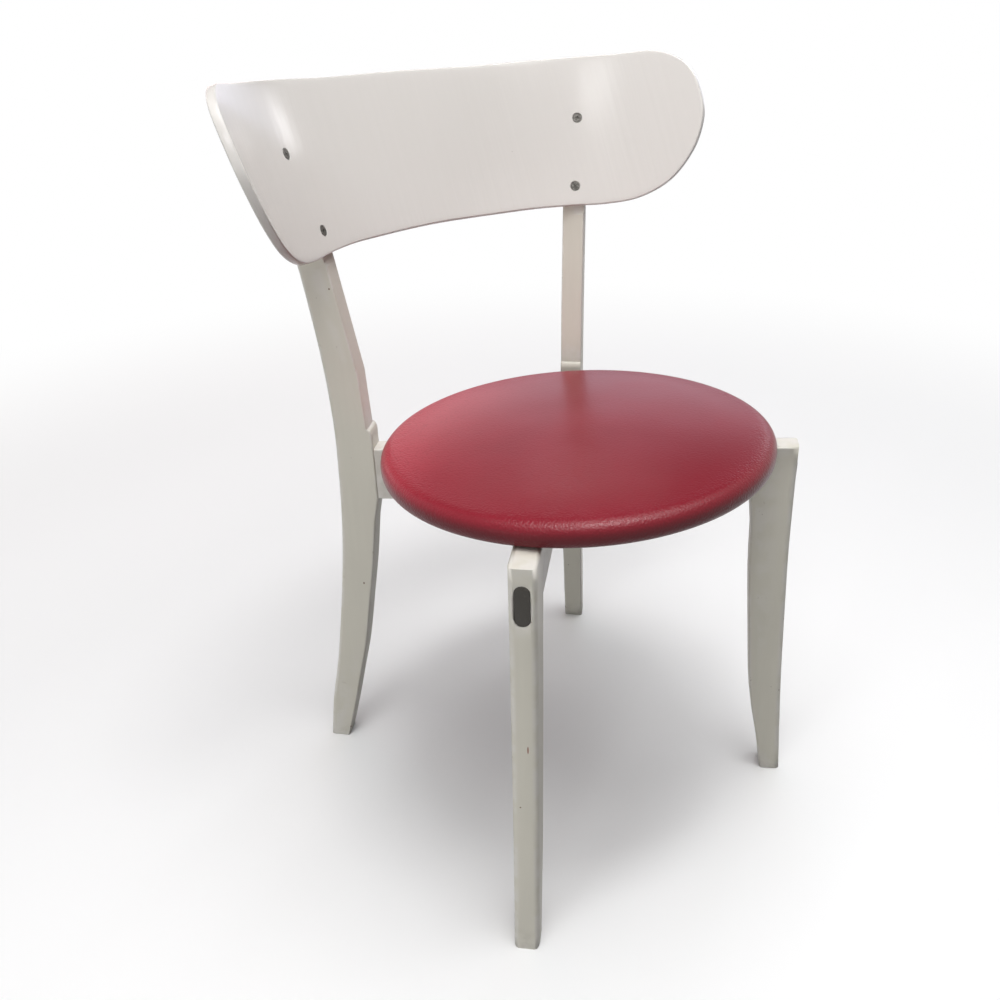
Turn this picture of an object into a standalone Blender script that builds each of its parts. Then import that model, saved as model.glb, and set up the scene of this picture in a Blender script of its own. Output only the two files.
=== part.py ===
"""Painted wooden chair with a round upholstered seat.

Four sabre-curved legs stand on the diagonals of a crossed, half-lapped frame. The front pair stops
under the seat's rim and the rear pair runs on up as posts, which carry a wide bent plywood back panel.
Metres, +Z up, the front of the chair faces -Y, and the origin is on the floor under its middle.
"""
import bpy
import bmesh
from math import cos, pi, radians, sin, tan
from mathutils import Matrix, Vector

# Clearances
gap = 0.0003                 # between faces that touch
hole_clearance = 0.0003      # around a shank in its hole

# Seat
seat_radius = 0.204
seat_top = 0.470             # height of the middle of the seat
seat_pitch = radians(4.7)    # the back of the seat is lower than its front
pad_thickness = 0.0325       # in the middle, cover to cover
seat_crown = 0.006           # the middle stands this far above the rim
cover_thickness = 0.0012
cover_return = 0.032         # how far the cover is drawn in under the board
board_thickness = 0.012
top_edge_round = (0.016, 0.012)
bottom_edge_round = (0.009, 0.010)

# Where the chair's parts stand along Y
crossing_y = -0.0223         # the two rails cross here, and every leg plane passes through it
seat_forward = 0.0389        # from the crossing to the middle of the seat

# Crossed rails under the seat
rail_height = 0.063
rail_thickness = 0.022
rail_edge = 0.0015

# Legs, all cut from the same board. Distances are out from the crossing, beyond the seat's radius
leg_thickness = 0.0258
leg_outer_round = 0.007
leg_inner_round = 0.003
leg_end_round = 0.0015
front_inner_face = seat_radius + 0.0077
rear_inner_face = seat_radius - 0.0059
rear_leg_top = 0.768
shoulder_above_rail = 0.016  # the rear leg's flat face runs on above the rail, then coves out
cove = (0.0050, 0.009)       # how far the cove steps out, and its height

# Outlines in the plane of a leg: (height above the floor, distance beyond the seat's radius)
front_outer_edge = [(0.0, 0.0761), (0.055, 0.0717), (0.145, 0.0650), (0.235, 0.0598), (0.320, 0.0555),
                    (0.400, 0.0535), (0.450, 0.0525)]
front_inner_edge = [(0.0, 0.0525), (0.052, 0.0434), (0.114, 0.0311), (0.202, 0.0221), (0.285, 0.0149),
                    (0.345, 0.0120)]
rear_outer_edge = [(0.0, 0.0870), (0.058, 0.0797), (0.125, 0.0665), (0.230, 0.0507), (0.320, 0.0410),
                   (0.400, 0.0372), (0.455, 0.0369), (0.520, 0.0409), (0.580, 0.0478), (0.640, 0.0570),
                   (0.700, 0.0730), (rear_leg_top, 0.0950)]
rear_inner_edge = [(0.0, 0.0634), (0.045, 0.0520), (0.103, 0.0383), (0.151, 0.0273), (0.213, 0.0169),
                   (0.272, 0.0073), (0.328, 0.0002)]
rear_post_inner_edge = [(0.509, 0.0021), (0.560, 0.0108), (0.617, 0.0204), (0.640, 0.0248), (0.663, 0.0332),
                        (0.702, 0.0484), (rear_leg_top, 0.0740)]

# Leg fixings: a stadium-shaped pocket in the leg's outer edge holds two screws and its cap
cap_length = 0.042
cap_width = 0.014
cap_thickness = 0.005
cap_proud = 0.0006
cap_edge = 0.0008
cap_below_rail_middle = 0.004
pocket_depth = 0.012
leg_screw_spacing = 0.024
leg_screw_shank = 0.005
leg_screw_head = 0.0095
leg_screw_head_height = 0.0045
leg_screw_in_rail = 0.035

# Seat fixings: screws up through each rail into the board
seat_screw_inset = 0.018     # in from the edge of the drawn-in cover, for the rear pair
seat_screw_shank = 0.004
seat_screw_head = 0.008
seat_screw_head_height = 0.003
seat_screw_in_board = 0.009
seat_screw_bore = 0.010      # counterbore in the rail's underside
seat_screw_bore_depth = 0.030

# Back panel, bent plywood that leans back; its bend eases towards the ends and towards the top
panel_thickness = 0.0085
panel_radius = 0.3207        # of the front face, as a mean along its length
panel_end_ease = 0.42        # share of the bend that is gone at the ends
panel_top_ease = 0.68        # share of the bend that goes with each metre up the lean
panel_half_length = 0.3436   # round the front face
panel_lean = radians(24.0)
panel_beyond_seat = 0.0330   # from the seat's radius back to the middle of the front face
panel_z = 0.6984             # height of that point
panel_edge = 0.0012
panel_columns = 38
panel_rows = 4
bend_steps = 24
end_crowding = 0.6
flat_columns = 8             # across the flat that it lies against on each post
flat_reach = 0.065
# Outline of half the panel: (share of its half length from the middle, height along the lean)
panel_top_edge = [(0.0, 0.1032), (0.335, 0.0954), (0.553, 0.0849), (0.757, 0.0694), (0.888, 0.0584),
                  (0.963, 0.0395), (0.9953, 0.0175)]
panel_bottom_edge = [(0.0, -0.0700), (0.291, -0.0760), (0.466, -0.0849), (0.597, -0.0945), (0.713, -0.0984),
                     (0.829, -0.0892), (0.9255, -0.0653), (0.981, -0.0384), (1.0, -0.0150)]
post_seat_below_panel = 0.0095  # the flat for the panel runs on this far below its lower edge

# Panel screws, two in each post
panel_screw_heights = {"upper": 0.011, "lower": -0.065}
panel_screw_head = 0.010
panel_screw_shank = 0.0045
panel_screw_length = 0.024
countersink_depth = 0.0032
screw_socket = 0.0022
screw_socket_depth = 0.0020

# Roundness
round_steps = 44
screw_steps = 12
bore_steps = 16


# The scene and its two collections
for item in list(bpy.data.objects):
    bpy.data.objects.remove(item, do_unlink=True)
parts = bpy.data.collections.new("peeling_paint_chair")
cutters = bpy.data.collections.new("cutters")
bpy.context.scene.collection.children.link(parts)
bpy.context.scene.collection.children.link(cutters)


def paint(name, colour, roughness, metallic=0.0):
    """A Principled material with one colour."""
    material = bpy.data.materials.new(name)
    material.use_nodes = True
    shader = material.node_tree.nodes["Principled BSDF"]
    shader.inputs["Base Color"].default_value = (*colour, 1.0)
    shader.inputs["Roughness"].default_value = roughness
    shader.inputs["Metallic"].default_value = metallic
    return material


white_paint = paint("white_paint", (0.66, 0.62, 0.57), 0.4)
red_vinyl = paint("red_vinyl", (0.28, 0.035, 0.05), 0.42)
cushion_foam = paint("cushion_foam", (0.72, 0.62, 0.40), 0.95)
bare_plywood = paint("bare_plywood", (0.48, 0.33, 0.19), 0.7)
dark_plastic = paint("dark_plastic", (0.045, 0.038, 0.030), 0.5)
dark_steel = paint("dark_steel", (0.09, 0.085, 0.08), 0.45, 1.0)
zinc_steel = paint("zinc_steel", (0.45, 0.44, 0.42), 0.4, 1.0)


def add_object(name, mesh, material, matrix=Matrix()):
    """One named piece of the chair."""
    item = bpy.data.objects.new(name, mesh)
    item.matrix_world = matrix
    parts.objects.link(item)
    if material.name not in mesh.materials:
        mesh.materials.append(material)
    mesh.shade_smooth()
    mesh.set_sharp_from_angle(angle=radians(35))
    return item


def make_cutter(item):
    """Turn a piece into a guide that is only used to cut others."""
    parts.objects.unlink(item)
    cutters.objects.link(item)
    item.hide_render = True
    item.display_type = "WIRE"
    return item


def cut(item, cutter):
    """Cut the item with an exact Boolean difference."""
    boolean = item.modifiers.new("cut_" + cutter.name, "BOOLEAN")
    boolean.operation = "DIFFERENCE"
    boolean.solver = "EXACT"
    boolean.object = cutter


def smooth_curve(stations, steps):
    """Points on a Catmull-Rom curve through the stations, with so many steps in each span."""
    ends = [Vector(station) for station in stations]
    ends.insert(0, ends[0] * 2 - ends[1])
    ends.append(ends[-1] * 2 - ends[-2])
    points = []
    for before, start, end, after in zip(ends, ends[1:], ends[2:], ends[3:]):
        for step in range(steps):
            t = step / steps
            bend = 2 * before - 5 * start + 4 * end - after
            twist = 3 * (start - end) + after - before
            points.append(0.5 * (2 * start + (end - before) * t + bend * t ** 2 + twist * t ** 3))
    points.append(ends[-2])
    return points


def flat_mesh(name, outline, thickness):
    """A board cut to an outline in local XY, as thick as said along local Z."""
    curve = bpy.data.curves.new(name, "CURVE")
    curve.dimensions = "2D"
    curve.fill_mode = "BOTH"
    curve.extrude = thickness / 2
    spline = curve.splines.new("POLY")
    spline.points.add(len(outline) - 1)
    for point, place in zip(spline.points, outline):
        point.co = (place[0], place[1], 0.0, 1.0)
    spline.use_cyclic_u = True
    source = bpy.data.objects.new(name, curve)
    bpy.context.scene.collection.objects.link(source)
    depsgraph = bpy.context.evaluated_depsgraph_get()
    mesh = bpy.data.meshes.new_from_object(source.evaluated_get(depsgraph))
    mesh.name = name
    bpy.data.objects.remove(source, do_unlink=True)
    bpy.data.curves.remove(curve)
    work = bmesh.new()
    work.from_mesh(mesh)
    bmesh.ops.remove_doubles(work, verts=work.verts, dist=0.00001)
    for facing in (1.0, -1.0):
        bmesh.ops.dissolve_faces(work, faces=[face for face in work.faces if face.normal.z * facing > 0.99])
    bmesh.ops.recalc_face_normals(work, faces=work.faces)
    work.to_mesh(mesh)
    work.free()
    return mesh


def turned(name, profile, steps, material, matrix=Matrix()):
    """A closed profile of (radius, height) points turned round local Z."""
    mesh = bpy.data.meshes.new(name)
    points = [(radius, 0.0, height) for radius, height in profile]
    mesh.from_pydata(points, [(k, k + 1) for k in range(len(points) - 1)], [])
    item = add_object(name, mesh, material, matrix)
    screw = item.modifiers.new("turn", "SCREW")
    screw.steps = steps
    screw.render_steps = steps
    screw.use_merge_vertices = True
    screw.merge_threshold = 0.00001
    screw.use_smooth_shade = True
    return item


def arc(centre, radii, start, end, steps):
    """Points on an ellipse arc, angles in degrees."""
    turns = [radians(start + (end - start) * k / steps) for k in range(steps + 1)]
    return [(centre[0] + radii[0] * cos(turn), centre[1] + radii[1] * sin(turn)) for turn in turns]


# Places that follow from the driving dimensions
pad_bottom = seat_top - pad_thickness
seat_y = crossing_y - seat_forward
panel_y = crossing_y + seat_radius + panel_beyond_seat
cover_opening = seat_radius - bottom_edge_round[0] - cover_return
screw_circle = (cover_opening - seat_screw_inset) ** 2 - seat_forward ** 2 / 2
seat_screw_reach = screw_circle ** 0.5 - seat_forward * cos(pi / 4)  # from the crossing, along the rail
pitch_slope = tan(seat_pitch)
diagonal_slope = pitch_slope * cos(pi / 4)
arris_rise = diagonal_slope * rail_thickness / 2
rail_top_at_crossing = pad_bottom - pitch_slope * (crossing_y - seat_y) - arris_rise - gap


def rail_top(distance):
    """Height of a rail's upper edge, with distances in front of the crossing positive."""
    return rail_top_at_crossing + diagonal_slope * distance


def leg_plane(side, end):
    """Local X points out along the diagonal, local Y up and local Z across the leg."""
    out = Vector((side, end, 0.0)).normalized()
    up = Vector((0.0, 0.0, 1.0))
    across = out.cross(up)
    matrix = Matrix((out, up, across)).transposed().to_4x4()
    matrix.translation = (0.0, crossing_y, 0.0)
    return matrix


def seat_frame():
    """Local axes of the pad: its underside is local Z = 0 and it leans back with the rails."""
    lean = Matrix.Rotation(-seat_pitch, 4, "X")
    return Matrix.Translation((0.0, seat_y, pad_bottom)) @ lean


def panel_turn(along, height):
    """How far the panel's front face has turned at a distance from its middle."""
    eased = along + panel_end_ease * (along / 3 - along ** 3 / (3 * panel_half_length ** 2))
    return eased / panel_radius * (1 - panel_top_ease * height)


def panel_point(along, height, depth=0.0):
    """A place on the back panel: along its front face, up its lean, and back into its thickness."""
    backward = Vector((0.0, cos(panel_lean), -sin(panel_lean)))
    upward = Vector((0.0, sin(panel_lean), cos(panel_lean)))
    sideways = Vector((1.0, 0.0, 0.0))
    place = Vector((0.0, panel_y, panel_z)) + upward * height
    for step in range(bend_steps):
        turn = panel_turn(along * (step + 0.5) / bend_steps, height)
        place += (sideways * cos(turn) - backward * sin(turn)) * along / bend_steps
    turn = panel_turn(along, height)
    return place + (sideways * sin(turn) + backward * cos(turn)) * depth


sides = {"left": -1.0, "right": 1.0}
across = {"left": "right", "right": "left"}


def distance_at(stations, height):
    """Distance of an edge at a height, or of a panel's edge at a distance round it."""
    points = smooth_curve(stations, 8)
    for low, high in zip(points, points[1:]):
        if low[0] <= height <= high[0]:
            return low[1] + (high[1] - low[1]) * (height - low[0]) / (high[0] - low[0])
    return points[-1][1]


def round_edges(mesh, outline, rounds, segments, item):
    """Bevel a board's edges, each stretch of its outline with its own radius."""
    widest = max(rounds)
    widths = {}
    for start, end, width in zip(outline, outline[1:] + outline[:1], rounds):
        middle = (round((start[0] + end[0]) / 2, 5), round((start[1] + end[1]) / 2, 5))
        widths[middle] = width / widest
    weights = mesh.attributes.new("bevel_weight_edge", "FLOAT", "EDGE")
    for edge in mesh.edges:
        start, end = (mesh.vertices[index].co for index in edge.vertices)
        if abs(start.z - end.z) < 0.00001:
            middle = (round((start.x + end.x) / 2, 5), round((start.y + end.y) / 2, 5))
            weights.data[edge.index].value = widths.get(middle, 0.0)
    bevel = item.modifiers.new("round", "BEVEL")
    bevel.limit_method = "WEIGHT"
    bevel.width = widest
    bevel.segments = segments


def block(name, size, matrix):
    """A box cutter with its middle at the matrix."""
    mesh = bpy.data.meshes.new(name)
    work = bmesh.new()
    bmesh.ops.create_cube(work, size=1.0)
    bmesh.ops.scale(work, vec=size, verts=work.verts)
    work.to_mesh(mesh)
    work.free()
    return make_cutter(add_object(name, mesh, white_paint, matrix))


def stadium(length, width, steps):
    """A slot outline, upright in local Y."""
    reach = (length - width) / 2
    upper = arc((0.0, reach), (width / 2, width / 2), 0, 180, steps)
    lower = arc((0.0, -reach), (width / 2, width / 2), 180, 360, steps)
    return upper + lower


# Legs: the outer edge is well rounded, the inner edge only softened
def leg(name, side, end, outer, inner):
    """A sabre-curved leg cut from a board between its outer and inner outline."""
    outline = [(distance, height) for height, distance in outer]
    outline += [(distance, height) for height, distance in reversed(inner)]
    rounds = [leg_outer_round] * (len(outer) - 1) + [leg_end_round]
    rounds += [leg_inner_round] * (len(inner) - 1) + [leg_end_round]
    mesh = flat_mesh(name, outline, leg_thickness)
    item = add_object(name, mesh, white_paint, leg_plane(side, end))
    round_edges(mesh, outline, rounds, 3, item)
    return item


def leg_top(distance):
    """Height of a front leg's top, which lies under the seat as the rail's top does."""
    return rail_top(distance) - diagonal_slope * (leg_thickness - rail_thickness) / 2


def from_crossing(stations, steps):
    """An outline's points with their distances from the crossing."""
    return [(height, distance + seat_radius) for height, distance in smooth_curve(stations, steps)]


def front_leg(name, side):
    """The inner edge is flat where the rail meets it, and the top lies under the pad's rim."""
    outer = from_crossing(front_outer_edge, 3)
    outer[-1] = (leg_top(outer[-1][1]), outer[-1][1])
    inner = from_crossing(front_inner_edge, 3)
    inner += [(rail_top(front_inner_face) - rail_height, front_inner_face)]
    inner += [(leg_top(front_inner_face), front_inner_face)]
    return leg(name, side, -1.0, outer, inner)


def rear_leg(name, side):
    """The inner edge is flat where the rail meets it, then coves out to the thinner post."""
    face_top = rail_top(-rear_inner_face) + shoulder_above_rail
    hollow = arc((rear_inner_face + cove[0], face_top), cove, 180, 90, 4)
    outer = from_crossing(rear_outer_edge, 3)
    inner = from_crossing(rear_inner_edge, 3)
    inner += [(rail_top(-rear_inner_face) - rail_height, rear_inner_face)]
    inner += [(height, distance) for distance, height in hollow]
    inner += from_crossing(rear_post_inner_edge, 3)
    return leg(name, side, 1.0, outer, inner)


legs = {}
for side_name, side in sides.items():
    legs["front", side_name] = front_leg("front_leg_" + side_name, side)
    legs["rear", side_name] = rear_leg("rear_leg_" + side_name, side)


# Rails: two boards on edge that cross at a right angle, halved into each other
def cross_rail(side_name, side):
    """A rail from a front leg to the opposite rear leg, falling towards the back."""
    front = front_inner_face - gap
    rear = -rear_inner_face + gap
    outline = [(front, rail_top(front)), (rear, rail_top(rear)), (rear, rail_top(rear) - rail_height),
               (front, rail_top(front) - rail_height)]
    name = "cross_rail_" + side_name
    mesh = flat_mesh(name, outline, rail_thickness)
    item = add_object(name, mesh, white_paint, leg_plane(side, -1.0))
    round_edges(mesh, outline, [rail_edge, 0.0, rail_edge, 0.0], 2, item)
    return item


rails = {side_name: cross_rail(side_name, side) for side_name, side in sides.items()}
lap_height = rail_top(0.0) - rail_height / 2
lap_size = (rail_thickness + 2 * gap, rail_height, 2 * rail_thickness)
for side_name, side in sides.items():
    upward = -side
    shift = lap_height + upward * (rail_height / 2 - gap / 2)
    lap = block("lap_" + side_name, lap_size, leg_plane(side, -1.0) @ Matrix.Translation((0.0, shift, 0.0)))
    cut(rails[side_name], lap)


# Leg screws in pairs under their caps
def leg_fixing(end_name, side_name):
    """The pocket in a leg's outer edge, its cap, and two screws into the rail's end."""
    side = sides[side_name]
    end = 1.0 if end_name == "rear" else -1.0
    inner_face = rear_inner_face if end_name == "rear" else front_inner_face
    edge = rear_outer_edge if end_name == "rear" else front_outer_edge
    middle = rail_top(-end * inner_face) - rail_height / 2 - cap_below_rail_middle
    reach = cap_length / 2
    surface = seat_radius + min(distance_at(edge, middle + shift) for shift in (-reach, 0.0, reach))
    outward = leg_plane(side, end) @ Matrix.Translation((surface, middle, 0.0))
    outward = outward @ Matrix.Rotation(pi / 2, 4, "Y")
    place = end_name + "_" + side_name

    spare = 0.004
    mouth = stadium(cap_length + 2 * gap, cap_width + 2 * gap, 8)
    mesh = flat_mesh("pocket_" + place, mouth, pocket_depth + spare)
    centre = Matrix.Translation((0.0, 0.0, (spare - pocket_depth) / 2))
    pocket = make_cutter(add_object("pocket_" + place, mesh, white_paint, outward @ centre))
    cut(legs[end_name, side_name], pocket)

    mesh = flat_mesh("leg_cap_" + place, stadium(cap_length, cap_width, 8), cap_thickness)
    centre = Matrix.Translation((0.0, 0.0, cap_proud - cap_thickness / 2))
    cap = add_object("leg_cap_" + place, mesh, dark_plastic, outward @ centre)
    bevel = cap.modifiers.new("round", "BEVEL")
    bevel.width = cap_edge
    bevel.segments = 2
    bevel.angle_limit = radians(60)

    through_leg = surface - pocket_depth - inner_face
    length = through_leg + leg_screw_in_rail
    shank = leg_screw_shank / 2
    head = leg_screw_head / 2
    bore = shank + hole_clearance
    for level_name, level in (("upper", 0.5), ("lower", -0.5)):
        seat = outward @ Matrix.Translation((0.0, level * leg_screw_spacing, -pocket_depth))
        profile = [(0.0, leg_screw_head_height), (head, leg_screw_head_height), (head, gap), (shank, gap),
                   (shank, shank - length), (0.0, -length)]
        turned("leg_screw_" + place + "_" + level_name, profile, screw_steps, zinc_steel, seat)
        profile = [(0.0, spare), (bore, spare), (bore, -length - gap), (0.0, -length - gap)]
        name = "leg_bore_" + place + "_" + level_name
        hole = make_cutter(turned(name, profile, bore_steps, white_paint, seat))
        cut(legs[end_name, side_name], hole)
        cut(rails[side_name if end_name == "front" else across[side_name]], hole)


for end_name in ("front", "rear"):
    for side_name in sides:
        leg_fixing(end_name, side_name)


# Round seat: plywood board, foam and a drawn cover
def pad_section(inset):
    """Upper and side outline of the pad, a distance in from its outside."""
    radius = seat_radius
    flat = radius - top_edge_round[0]
    rim = pad_thickness - seat_crown
    crown = [(flat * k / 5, pad_thickness - inset - seat_crown * (k / 5) ** 2) for k in range(5)]
    radii = (top_edge_round[0] - inset, top_edge_round[1] - inset)
    return crown + arc((flat, rim - top_edge_round[1]), radii, 90, 0, 5)


def pad_under_edge(inset):
    """Lower rounding of the pad's rim, a distance in from its outside."""
    radii = (bottom_edge_round[0] - inset, bottom_edge_round[1] - inset)
    return arc((seat_radius - bottom_edge_round[0], bottom_edge_round[1]), radii, 0, -90, 4)


inside_cover = cover_thickness + gap
board_top = inside_cover + board_thickness
board_profile = [(0.0, board_top), (seat_radius - inside_cover, board_top)]
board_profile += pad_under_edge(inside_cover) + [(0.0, inside_cover)]
seat_board = turned("seat_board", board_profile, round_steps, bare_plywood, seat_frame())
foam_bottom = board_top + gap
foam_profile = pad_section(inside_cover)
foam_profile += [(seat_radius - inside_cover, foam_bottom), (0.0, foam_bottom)]
turned("seat_foam", foam_profile, round_steps, cushion_foam, seat_frame())
cover_profile = pad_section(0.0) + pad_under_edge(0.0)
cover_profile += [(cover_opening, 0.0)]
seat_cover = turned("seat_cover", cover_profile, round_steps, red_vinyl, seat_frame())
skin = seat_cover.modifiers.new("skin", "SOLIDIFY")
skin.thickness = cover_thickness
skin.offset = -1.0


# Seat screws, two up through each rail
screw_floor = seat_screw_bore_depth - rail_height
for side_name, side in sides.items():
    for end_name, reach in (("front", seat_screw_reach), ("rear", -seat_screw_reach)):
        foot = leg_plane(side, -1.0) @ Vector((reach, rail_top(reach), 0.0))
        seat = Matrix.Translation(foot) @ Matrix.Rotation(-seat_pitch, 4, "X")
        tip = inside_cover + seat_screw_in_board
        shank = seat_screw_shank / 2
        head = seat_screw_head / 2
        bore = seat_screw_bore / 2
        under_head = screw_floor - gap
        profile = [(0.0, tip), (shank, tip - shank), (shank, under_head), (head, under_head),
                   (head, under_head - seat_screw_head_height), (0.0, under_head - seat_screw_head_height)]
        turned("seat_screw_" + end_name + "_" + side_name, profile, screw_steps, zinc_steel, seat)
        wide = shank + hole_clearance
        profile = [(0.0, tip + gap), (wide, tip + gap), (wide, screw_floor), (bore, screw_floor),
                   (bore, -2 * rail_height), (0.0, -2 * rail_height)]
        name = "seat_bore_" + end_name + "_" + side_name
        hole = make_cutter(turned(name, profile, bore_steps, white_paint, seat))
        cut(rails[side_name], hole)
        cut(seat_board, hole)


# Back panel: a bent plywood sheet, its columns crowded towards the round ends
def chain_point(stations, share):
    """A place along half of the panel's outline, by its share of the whole length."""
    points = smooth_curve([(panel_half_length * part, height) for part, height in stations], 10)
    lengths = [0.0]
    for start, end in zip(points, points[1:]):
        lengths.append(lengths[-1] + (end - start).length)
    wanted = share * lengths[-1]
    for low, high, start, end in zip(lengths, lengths[1:], points, points[1:]):
        if wanted <= high:
            return start + (end - start) * (wanted - low) / (high - low)
    return points[-1]


work = bmesh.new()
bmesh.ops.create_grid(work, x_segments=panel_columns, y_segments=panel_rows, size=1.0)
for vertex in work.verts:
    across, level = vertex.co.x, (vertex.co.y + 1) / 2
    share = (1 - end_crowding) * abs(across) + end_crowding * sin(abs(across) * pi / 2)
    high = chain_point(panel_top_edge, share)
    low = chain_point(panel_bottom_edge, share)
    along = (low[0] + (high[0] - low[0]) * level) * (1 if across > 0 else -1)
    vertex.co = panel_point(along, low[1] + (high[1] - low[1]) * level)
panel_mesh = bpy.data.meshes.new("back_panel")
work.to_mesh(panel_mesh)
work.free()
back_panel = add_object("back_panel", panel_mesh, white_paint)
sheet = back_panel.modifiers.new("sheet", "SOLIDIFY")
sheet.thickness = panel_thickness
sheet.offset = -1.0
sheet.use_even_offset = True
bevel = back_panel.modifiers.new("edge", "BEVEL")
bevel.width = panel_edge
bevel.segments = 2
bevel.angle_limit = radians(40)


# Panel screws, and the flat on each post that the panel lies against
def post_middle(height):
    """How far round the panel the middle of the right post lies, at a height up the lean."""
    near, far = 0.0, panel_half_length
    for _ in range(30):
        along = (near + far) / 2
        place = panel_point(along, height, 2 * panel_thickness)
        if place.x < place.y - crossing_y:
            near = along
        else:
            far = along
    return along


def panel_frame(along, height):
    """Local Z stands out of the panel's front face."""
    place = panel_point(along, height)
    outward = (place - panel_point(along, height, 1.0)).normalized()
    upward = Vector((0.0, sin(panel_lean), cos(panel_lean)))
    across = upward.cross(outward)
    matrix = Matrix((across, upward, outward)).transposed().to_4x4()
    matrix.translation = place
    return matrix


post_along = post_middle(panel_screw_heights["lower"])
flat_bottom = distance_at(panel_bottom_edge, post_along / panel_half_length) - post_seat_below_panel
flat_top = 1.2 * panel_top_edge[0][1]
for side_name, side in sides.items():
    work = bmesh.new()
    bmesh.ops.create_grid(work, x_segments=flat_columns, y_segments=panel_rows, size=1.0)
    for vertex in work.verts:
        along = side * post_along + vertex.co.x * flat_reach
        height = flat_bottom + (flat_top - flat_bottom) * (vertex.co.y + 1) / 2
        vertex.co = panel_point(along, height, panel_thickness + gap)
    mesh = bpy.data.meshes.new("post_flat_" + side_name)
    work.to_mesh(mesh)
    work.free()
    post_flat = add_object("post_flat_" + side_name, mesh, white_paint)
    sheet = post_flat.modifiers.new("sheet", "SOLIDIFY")
    sheet.thickness = 4 * panel_thickness
    sheet.offset = 1.0
    cut(legs["rear", side_name], make_cutter(post_flat))
    for level_name, height in panel_screw_heights.items():
        seat = panel_frame(side * post_middle(height), height)
        head = panel_screw_head / 2
        shank = panel_screw_shank / 2
        profile = [(0.0, -screw_socket_depth), (screw_socket, -screw_socket_depth), (screw_socket, 0.0),
                   (head, 0.0), (shank, -countersink_depth), (shank, shank - panel_screw_length),
                   (0.0, -panel_screw_length)]
        turned("panel_screw_" + side_name + "_" + level_name, profile, screw_steps, dark_steel, seat)
        wide_head = head + hole_clearance
        wide = shank + hole_clearance
        bottom = -panel_screw_length - gap
        profile = [(0.0, countersink_depth), (wide_head, countersink_depth), (wide_head, -gap),
                   (wide, -countersink_depth - gap), (wide, bottom), (0.0, bottom)]
        name = "panel_bore_" + side_name + "_" + level_name
        hole = make_cutter(turned(name, profile, bore_steps, white_paint, seat))
        cut(back_panel, hole)
        cut(legs["rear", side_name], hole)
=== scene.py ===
"""The peeling paint chair: a painted wooden side chair with a bent back panel and a red vinyl seat.

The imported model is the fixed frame. Each section below makes one piece, or one group of like pieces,
in the order in which the chair is put together: legs, rails, screws, caps, seat, back panel.
"""
from math import atan2, cos, pi, radians, sin, sqrt, tan

import bmesh
import bpy
from mathutils import Matrix, Vector, noise


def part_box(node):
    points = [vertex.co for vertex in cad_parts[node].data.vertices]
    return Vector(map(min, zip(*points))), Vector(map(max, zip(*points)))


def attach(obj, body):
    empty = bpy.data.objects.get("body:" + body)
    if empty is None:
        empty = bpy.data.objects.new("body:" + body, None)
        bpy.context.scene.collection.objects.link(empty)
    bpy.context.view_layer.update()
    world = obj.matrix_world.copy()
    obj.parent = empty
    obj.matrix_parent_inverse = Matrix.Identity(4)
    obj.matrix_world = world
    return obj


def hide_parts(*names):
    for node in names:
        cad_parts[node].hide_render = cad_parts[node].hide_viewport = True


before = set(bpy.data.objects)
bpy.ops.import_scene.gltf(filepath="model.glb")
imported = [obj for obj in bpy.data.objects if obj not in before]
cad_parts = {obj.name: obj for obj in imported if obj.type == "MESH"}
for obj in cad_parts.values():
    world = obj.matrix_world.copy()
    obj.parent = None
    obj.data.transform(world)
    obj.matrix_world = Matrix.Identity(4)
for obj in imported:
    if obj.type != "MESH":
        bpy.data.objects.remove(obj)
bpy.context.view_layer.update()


# ------------------------------------------------------------------ Legs
# Four sabre-curved legs, sawn from 26 mm board, rounded over and sprayed off-white. The rear pair runs
# on up as posts. Paint is nearly whole: a few specks, one scratch, grimy feet, and rubbed arrises
# with a painted highlight along them.
paint_colour = (0.700, 0.674, 0.592, 1.0)
# lighter paint for the edges: partly rubbed paint, partly a painted highlight
rubbed_and_highlight_colour = (0.770, 0.745, 0.705, 1.0)
bare_wood_colour = (0.200, 0.125, 0.075, 1.0)
grime_colour = (0.270, 0.235, 0.185, 1.0)
scratch_colour = (0.330, 0.120, 0.080, 1.0)
paint_roughness = 0.40
grime_height = 0.035
same_place = 0.00002
leg_names = ("front_leg_left", "front_leg_right", "rear_leg_left", "rear_leg_right")
# Marks that show from the front: place, radius, and how far each is drawn out upwards
leg_marks = (((-0.1835, -0.2104, 0.2537), 0.0009, 6.0, scratch_colour),
             ((-0.1917, -0.2076, 0.1846), 0.0010, 1.0, bare_wood_colour),
             ((-0.1695, 0.1290, 0.6044), 0.0012, 1.0, bare_wood_colour),
             ((-0.1683, 0.1278, 0.2434), 0.0012, 1.6, bare_wood_colour),
             ((-0.1715, 0.1250, 0.0900), 0.0011, 1.0, bare_wood_colour),
             ((0.1740, -0.2135, 0.1300), 0.0010, 1.4, bare_wood_colour))


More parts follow.
